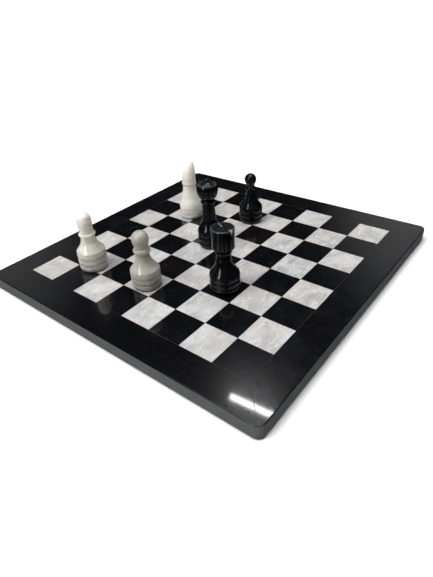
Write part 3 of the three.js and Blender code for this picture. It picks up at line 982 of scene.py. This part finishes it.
def bishop_solid(size, look, _dice):
    """The mitre's apex leans, so that one flank is nearly upright and the other slopes."""
    outline = bishop_outline(size, look)
    top = outline.tip().z
    solid = outline.spin(look.segments, look.arris)
    wide, lean = size["mitre_radius"], size["mitre_lean"]
    towards = Matrix.Rotation(math.radians(size["lean_turn"]), 3, "Z") @ Vector((1, 0, 0))
    start = top - size["mitre_height"] + size["mitre_flare"]
    for vert in solid.verts:
        if vert.co.z > start:
            vert.co += towards * lean * math.tanh((wide - vert.co.xy.length) / lean)
    return solid, top


def pawn_solid(size, look, _dice):
    outline = pawn_outline(size, look)
    return outline.spin(look.segments, look.arris), outline.tip().z


def mark_wear(bm):
    """Stores how sharp each vertex is: above 0 on worn corners and below 0 in grooves."""
    layer = bm.verts.layers.float.new("edge_wear")
    for vert in bm.verts:
        bends = [e.calc_face_angle_signed(0.0) for e in vert.link_edges]
        strongest = max(bends, key=abs, default=0.0)
        vert[layer] = max(-1.0, min(1.0, strongest / math.radians(45)))


def rook_chips_and_highlight(spot, top, size):
    """Whitish in the spall, a painted highlight along one arm of the saw cuts, grey on the rim and on the
    flat top.
    """
    below = top - spot.z
    if below > SPALL_DEPTH:
        return 0.0
    notch = math.radians(size["notch_turn"])
    aside = abs(spot.y * math.cos(notch) - spot.x * math.sin(notch))
    outward = spot.x * math.cos(notch) + spot.y * math.sin(notch)
    if outward > size["turret_radius"] - 1.2 and aside < 0.25 + 1.1 * (1 - below / SPALL_DEPTH):
        return 0.65
    if below > size["kerf_depth"] + 0.05:
        return 0.0
    angle = math.radians(size["kerf_turn"])
    along = spot.x * math.cos(angle) + spot.y * math.sin(angle)
    across = spot.y * math.cos(angle) - spot.x * math.sin(angle)
    # painted highlight: the lit edge along one arm of the first saw cut
    if abs(across) < size["kerf_width"] * 0.62 and 0.6 < along < size["rim_radius"] * 0.8:
        return 0.9
    in_cut = below > 0.2 and spot.xy.length < size["rim_radius"] - 0.1
    if in_cut:
        # a fainter painted highlight at the outer end of the second cut; grey sawn stone elsewhere in the
        # cuts
        return 0.35 if abs(along) < size["kerf_width"] * 0.62 and across > 5 else 0.12
    # grey round the rim: partly scuffs, partly a painted highlight of the rim's edge
    if below < 0.75 and spot.xy.length > size["rim_radius"] - 0.75:
        return 0.12
    return 0.02 if below < 0.3 else 0.0


def queen_chalk(spot, top, size):
    """Grey on the crown's rim and scuffed over its top."""
    if spot.z < top - size["notch_depth"]:
        return 0.0
    if spot.xy.length > size["dome_radius"] - 0.1:
        return 0.09
    return 0.015


def mark_chips_and_highlight(bm, kind, top, size):
    """Stores how far fresh, whitish stone shows at each vertex, and on the rook also a painted highlight.
    """
    layer = bm.verts.layers.float.new("chips_and_highlight")
    rule = {"rook": rook_chips_and_highlight, "queen": queen_chalk}.get(kind)
    for vert in bm.verts:
        vert[layer] = rule(vert.co, top, size) if rule else 0.0


def chessman(name, kind, size, solid_maker, material_maker):
    """A finished chessman that stands where its CAD node stands."""
    look = bpy.context.scene.chessmen
    dice = random.Random(name)
    bm, top = solid_maker(size, look, dice)
    mark_wear(bm)
    mark_chips_and_highlight(bm, kind, top, size)
    felt_low, felt_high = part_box(f"{name}_felt")
    foot = (felt_low + felt_high) / 2
    foot.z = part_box(name)[0].z
    bmesh.ops.scale(bm, vec=(MM, MM, MM), verts=bm.verts)
    bmesh.ops.translate(bm, vec=foot, verts=bm.verts)
    piece = new_piece(
        f"{name}_turned", bm, [material_maker(f"{name}_stone", dice)], name, [name]
    )
    shade_turned(piece.data)
    return piece


def felt_pad(name, material):
    """The felt disc under a chessman, with a softly rounded cut edge."""
    low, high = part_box(f"{name}_felt")
    bm = disc(low, high, 1.0, 64)
    ease(bm, level_edges(bm), 0.2 * MM, 3)
    piece = new_piece(f"{name}_felt_pad", bm, [material], name, [f"{name}_felt"])
    shade_turned(piece.data, 50)


# ---- Stage ----------------------------------------------------------------------------------------

SKY_HORIZON, SKY_ZENITH = 0.010, 3.4  # strength of the sky low down and overhead
SKY_CARDS = ((74, 24, 17, 0.28), (8, 24, 17, 0.38))  # azimuth, height and spread in degrees, strength

TUBE_MIDDLE = Vector((0.496, 0.303, 0.929))
TUBE_LINE = Vector((0.234, -0.950, 0.208))  # along the tube
TUBE_GLARE = Vector((-0.141, -0.138, BOARD_TOP))  # where the board mirrors it
TUBE_SIZE = (0.156, 0.018)
TUBE_RADIANCE = 46.0

WINDOW_AZIMUTH = math.radians(172)
WINDOW_DISTANCE = 1.3
WINDOW_HEIGHT = 0.85
WINDOW_SIZE = (1.1, 0.24)
WINDOW_RADIANCE = 12.0


def direction(azimuth, height):
    """Unit vector towards a place on the sky: azimuth from +X towards +Y, height above the horizon."""
    flat = math.cos(height)
    return Vector((flat * math.cos(azimuth), flat * math.sin(azimuth), math.sin(height)))


def soft_card(tree, sky, azimuth, height, spread, strength):
    """A dim soft card on the sky: full at its middle and gone at its edge."""
    towards = direction(math.radians(azimuth), math.radians(height))
    dot = node(tree, "ShaderNodeVectorMath", {0: sky, 1: towards}, operation="DOT_PRODUCT")
    edge = math.cos(math.radians(spread))
    return ramp(tree, dot.outputs["Value"], edge, 1.0, 0.0, strength)


def studio_sky():
    """Soft light from overhead, dim towards the horizon, with two faint cards behind the board."""
    world = bpy.data.worlds.new("studio_sky")
    world.use_nodes = True
    bpy.context.scene.world = world
    tree = world.node_tree
    background = tree.nodes["Background"]
    sky = node(tree, "ShaderNodeTexCoord").outputs["Generated"]
    height = node(tree, "ShaderNodeSeparateXYZ", {"Vector": sky}).outputs["Z"]
    light = ramp(tree, height, 0.80, 0.97, SKY_HORIZON, SKY_ZENITH)
    for card in SKY_CARDS:
        light = maths(tree, "ADD", light, soft_card(tree, sky, *card))
    camera_ray = node(tree, "ShaderNodeLightPath").outputs["Is Camera Ray"]
    shown = maths(tree, "MAXIMUM", light, maths(tree, "MULTIPLY", camera_ray, 0.9))
    tree.links.new(shown, background.inputs["Strength"])
    background.inputs["Color"].default_value = (1.0, 1.0, 1.0, 1.0)


def floor_material(look):
    material, tree, shader = new_material("pale_floor")
    tone = ramp(tree, cloud(tree, stone_space(tree), 2.0, 2), 0.3, 0.7)
    paint = blend(tree, tone, look.floor_colour, [c * 0.985 for c in look.floor_colour])
    finish(tree, shader, paint, ramp(tree, tone, 0, 1, 0.8, 0.9), Specular_IOR_Level=0.1)
    return material


def pale_floor(look):
    bm = bmesh.new()
    bmesh.ops.create_grid(bm, x_segments=1, y_segments=1, size=look.floor_size)
    mesh = mesh_from(bm, "floor")
    mesh.materials.append(floor_material(look))
    floor = put("floor", mesh)
    floor.visible_glossy = False  # the polished stones do not mirror it


def key_light(look):
    """A broad soft light from the front left, high up."""
    lamp = bpy.data.lights.new("key_light", "SUN")
    lamp.energy = look.key_power
    lamp.angle = look.key_width
    holder = put("key_light", lamp)
    towards = direction(look.key_azimuth, look.key_height)
    holder.rotation_mode = "QUATERNION"
    holder.rotation_quaternion = towards.to_track_quat("Z", "Y")
    holder.visible_glossy = False  # only the window and the tube leave highlights


def lamp_panel(name, middle, towards, along, size, radiance):
    """A flat lamp that only leaves highlights. It faces one direction and is long along another."""
    lamp = bpy.data.lights.new(name, "AREA")
    lamp.shape = "RECTANGLE"
    lamp.size, lamp.size_y = size
    lamp.energy = radiance * math.pi * size[0] * size[1]
    holder = put(name, lamp)
    back = -towards.normalized()
    side = (along - along.project(back)).normalized()
    turn = Matrix((side, back.cross(side), back)).transposed()
    holder.matrix_world = Matrix.Translation(middle) @ turn.to_4x4()
    holder.visible_diffuse = False


def tube_light():
    """A short tube lamp behind the board, mirrored in the polished corner by square a1."""
    facing = TUBE_GLARE - TUBE_MIDDLE
    lamp_panel("tube_light", TUBE_MIDDLE, facing, TUBE_LINE, TUBE_SIZE, TUBE_RADIANCE)


def window_light():
    """A tall narrow window on the left, mirrored in the flanks of the chessmen."""
    upright = Vector((0, 0, 1))
    middle = direction(WINDOW_AZIMUTH, 0) * WINDOW_DISTANCE + upright * WINDOW_HEIGHT
    lamp_panel("window_light", middle, -middle, upright, WINDOW_SIZE, WINDOW_RADIANCE)


def studio_camera(look):
    camera = bpy.data.cameras.new("camera")
    camera.lens = look.lens
    camera.clip_start = 0.01
    camera.clip_end = 4 * look.floor_size
    holder = put("camera", camera)
    line = Vector(look.camera_aim) - Vector(look.camera_place)
    holder.location = look.camera_place
    holder.rotation_mode = "QUATERNION"
    roll = Quaternion((0, 0, 1), look.camera_roll)
    holder.rotation_quaternion = line.to_track_quat("-Z", "Y") @ roll
    bpy.context.scene.camera = holder


# ---- Operators ------------------------------------------------------------------------------------


class CHESS_OT_stage(bpy.types.Operator):
    """Make the floor, the lights and the camera"""

    bl_idname = "chess.stage"
    bl_label = "Stage"

    def execute(self, context):
        look = context.scene.chess_stage
        context.scene.view_settings.view_transform = "Standard"
        studio_camera(look)
        pale_floor(look)
        studio_sky()
        key_light(look)
        window_light()
        tube_light()
        return {"FINISHED"}


class CHESS_OT_light_tiles(bpy.types.Operator):
    """Lay the light marble tiles"""

    bl_idname = "chess.light_tiles"
    bl_label = "Light Tiles"

    def execute(self, context):
        look = context.scene.chess_board
        for file, rank, name in squares(light=True):
            node_name = f"light_tile_{name}"
            low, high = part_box(node_name)
            bm = stone_block(low, high, look.tile_arris)
            dice = random.Random(node_name)
            # the share of the way from a1 to h8 sets the painted shade
            stone = light_marble(f"marble_{name}", (file + rank) / (2 * SQUARES), dice)
            new_piece(f"marble_tile_{name}", bm, [stone], "board", [node_name])
        return {"FINISHED"}


class CHESS_OT_dark_tiles(bpy.types.Operator):
    """Lay the dark tiles on their bed"""

    bl_idname = "chess.dark_tiles"
    bl_label = "Dark Tiles"

    def execute(self, context):
        look = context.scene.chess_board
        half = Vector((TILE_SIZE.x / 2, TILE_SIZE.y / 2, 0))
        thickness = Vector((0, 0, TILE_SIZE.z))
        for file, rank, name in squares(light=False):
            top = square_middle(file, rank)
            bm = stone_block(top - half - thickness, top + half, look.tile_arris)
            dice = random.Random(f"dark_tile_{name}")
            warm, cloudiness = dice.choice((0.0, 0.0, 0.3, 0.7)), dice.uniform(0.4, 1.0)
            stone = polished_dark(f"dark_stone_{name}", dice, warm, cloudiness)
            new_piece(f"dark_tile_{name}", bm, [stone], "board", ["dark_tile_grid"])
        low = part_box("dark_tile_grid")[0]
        high = Vector((-low.x, -low.y, BOARD_TOP - TILE_SIZE.z - 0.1 * MM))
        bed = stone_block(low, high, look.tile_arris)
        new_piece("tile_bedding", bed, [joint_resin()], "board", ["dark_tile_grid"])
        return {"FINISHED"}


class CHESS_OT_border(bpy.types.Operator):
    """Set the four mitred border strips"""

    bl_idname = "chess.border"
    bl_label = "Border"

    def execute(self, context):
        look = context.scene.chess_board
        for turns, (name, tone) in enumerate(BORDER_TONES.items()):
            dice = random.Random(name)
            bm = border_strip(look, dice.uniform(10, 90))
            assign_sides(bm, look)
            quarter = Matrix.Rotation(math.radians(90 * turns), 4, "Z")
            bmesh.ops.transform(bm, matrix=quarter, verts=bm.verts)
            polished = polished_dark(f"{name}_polished", dice, *tone)
            stones = [polished, honed_side(f"{name}_honed", dice)]
            piece = new_piece(f"{name}_strip", bm, stones, "board", [name])
            shade_turned(piece.data, 28)
            for polygon in piece.data.polygons:
                flat = max(abs(n) for n in polygon.normal) > 0.9999
                polygon.use_smooth = not flat
        return {"FINISHED"}


class CHESS_OT_base(bpy.types.Operator):
    """Finish the backing slab, the joint filler and the feet"""

    bl_idname = "chess.base"
    bl_label = "Base"

    def execute(self, context):
        look = context.scene.chess_board
        slab_low, slab_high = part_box("backing_slab")
        slab = stone_block(slab_low, slab_high, look.tile_arris)
        new_piece("sawn_backing_slab", slab, [backing_stone()], "board", ["backing_slab"])
        resin = joint_resin()
        new_piece("joint_filler", joint_lattice(look), [resin], "board", [])
        sides = honed_side("mitre_filler_honed", random.Random("mitre_filler"))
        for quarter, corner in enumerate(("h8", "a8", "a1", "h1")):
            fin = mitre_fin(look, quarter)
            new_piece(f"mitre_filler_{corner}", fin, [resin, sides], "board", [])
        rubber = foot_rubber()
        for corner in ("a1", "h1", "h8", "a8"):
            low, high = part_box(f"foot_{corner}")
            bm = rubber_foot(low, high)
            name = f"foot_{corner}"
            foot = new_piece(f"rubber_{name}", bm, [rubber], "board", [name])
            shade_turned(foot.data, 50)
        return {"FINISHED"}


class CHESS_OT_white_men(bpy.types.Operator):
    """Turn the white pawns and the white bishop"""

    bl_idname = "chess.white_men"
    bl_label = "White Men"

    def execute(self, context):
        look = context.scene.chessmen
        milky = partial(white_onyx, look.milky_low, look.milky_high_partly_lit)
        olive = partial(white_onyx, look.olive_low, look.olive_high)
        chalky = partial(white_onyx, look.chalky_low, look.chalky_high)
        chessman("white_pawn_1", "pawn", PAWN_1, pawn_solid, milky)
        chessman("white_pawn_2", "pawn", PAWN_2, pawn_solid, olive)
        chessman("white_bishop", "bishop", BISHOP, bishop_solid, chalky)
        return {"FINISHED"}


class CHESS_OT_black_men(bpy.types.Operator):
    """Turn the black pawn, the black rook and the black queen"""

    bl_idname = "chess.black_men"
    bl_label = "Black Men"

    def execute(self, context):
        chessman("black_pawn", "pawn", BLACK_PAWN, pawn_solid, black_onyx)
        chessman("black_rook", "rook", ROOK, rook_solid, black_onyx)
        chessman("black_queen", "queen", QUEEN, queen_solid, black_onyx)
        return {"FINISHED"}


class CHESS_OT_felts(bpy.types.Operator):
    """Glue the felts under the chessmen"""

    bl_idname = "chess.felts"
    bl_label = "Felts"

    def execute(self, context):
        cloth = felt_cloth()
        for name in CHESSMEN:
            felt_pad(name, cloth)
        return {"FINISHED"}


OPERATORS = (
    CHESS_OT_stage,
    CHESS_OT_light_tiles,
    CHESS_OT_dark_tiles,
    CHESS_OT_border,
    CHESS_OT_base,
    CHESS_OT_white_men,
    CHESS_OT_black_men,
    CHESS_OT_felts,
)


class CHESS_PT_panel(bpy.types.Panel):
    """Lists the pieces of the chess set"""

    bl_idname = "CHESS_PT_panel"
    bl_label = "Stone Chess Set"
    bl_space_type = "VIEW_3D"
    bl_region_type = "UI"
    bl_category = "Chess Set"

    def draw(self, context):
        for operator in OPERATORS:
            self.layout.operator(operator.bl_idname)


CLASSES = (BoardSettings, ChessmanSettings, StageSettings, *OPERATORS, CHESS_PT_panel)


def register():
    for cls in CLASSES:
        bpy.utils.register_class(cls)
    bpy.types.Scene.chess_board = PointerProperty(type=BoardSettings)
    bpy.types.Scene.chessmen = PointerProperty(type=ChessmanSettings)
    bpy.types.Scene.chess_stage = PointerProperty(type=StageSettings)


def unregister():
    del bpy.types.Scene.chess_stage
    del bpy.types.Scene.chessmen
    del bpy.types.Scene.chess_board
    for cls in reversed(CLASSES):
        bpy.utils.unregister_class(cls)


def main():
    register()
    for operator in OPERATORS:
        group, name = operator.bl_idname.split(".")
        getattr(getattr(bpy.ops, group), name)()


if __name__ == "__main__":
    main()
